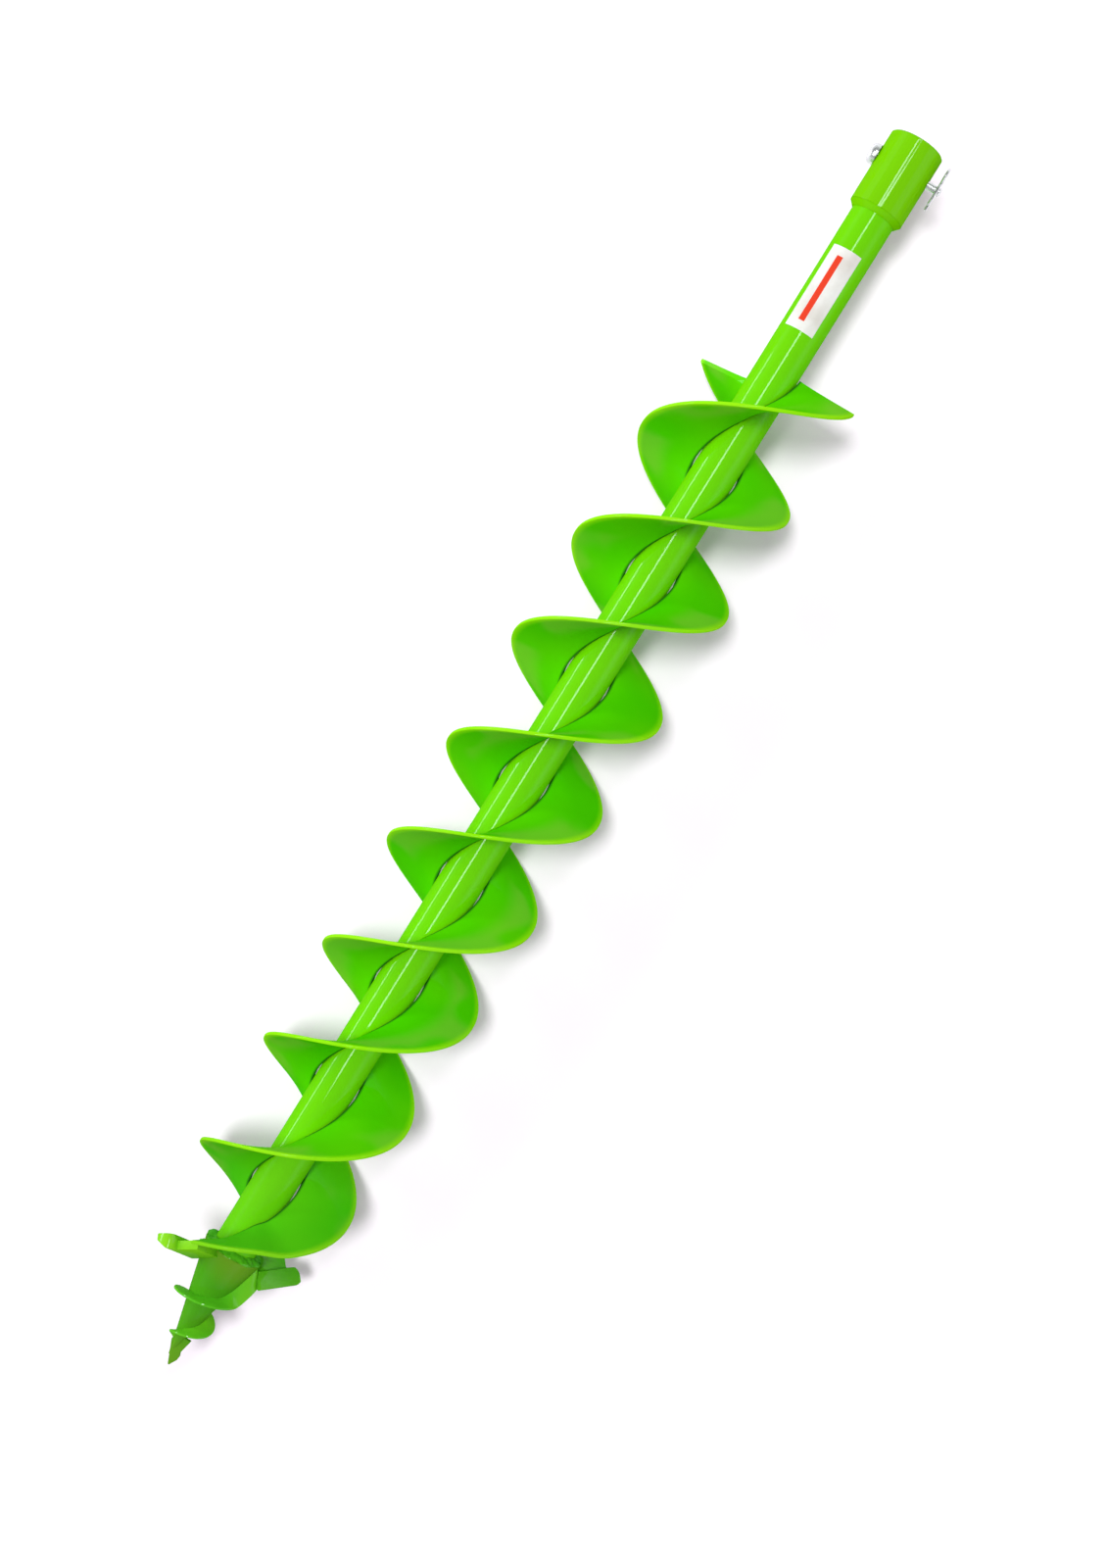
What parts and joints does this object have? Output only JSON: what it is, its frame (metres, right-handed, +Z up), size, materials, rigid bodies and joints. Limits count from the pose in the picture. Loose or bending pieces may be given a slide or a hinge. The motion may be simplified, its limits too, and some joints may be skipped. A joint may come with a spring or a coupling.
{
  "type": "earth auger drill bit",
  "caption": "Green earth auger drill bit: tube with two right-hand helical flights, screw pilot, cutting teeth and a pinned drive socket.",
  "frame": {"origin": "centre of the drive socket's mouth, on the auger's axis", "axes": "+X along the axis from the pilot's tip to the mouth of the drive socket, +Z up with the auger lying on its flights, +Y along the clevis pin towards its head"},
  "size_m": [0.8, 0.098, 0.098],
  "materials": {
    "green_paint": "gloss",
    "zinc_plate": "satin",
    "label_film": "gloss"
  },
  "bodies": {
    "root": {"central_tube": "green_paint", "drive_socket": "green_paint", "socket_weld": "green_paint", "clevis_pin": "zinc_plate", "r_clip": "zinc_plate", "pilot_screw": "green_paint", "pilot_weld": "green_paint", "cutting_tooth_1": "green_paint", "cutting_tooth_2": "green_paint", "flight_1": "green_paint", "flight_2": "green_paint", "flight_welds": "green_paint"}
  },
  "joints": []
}
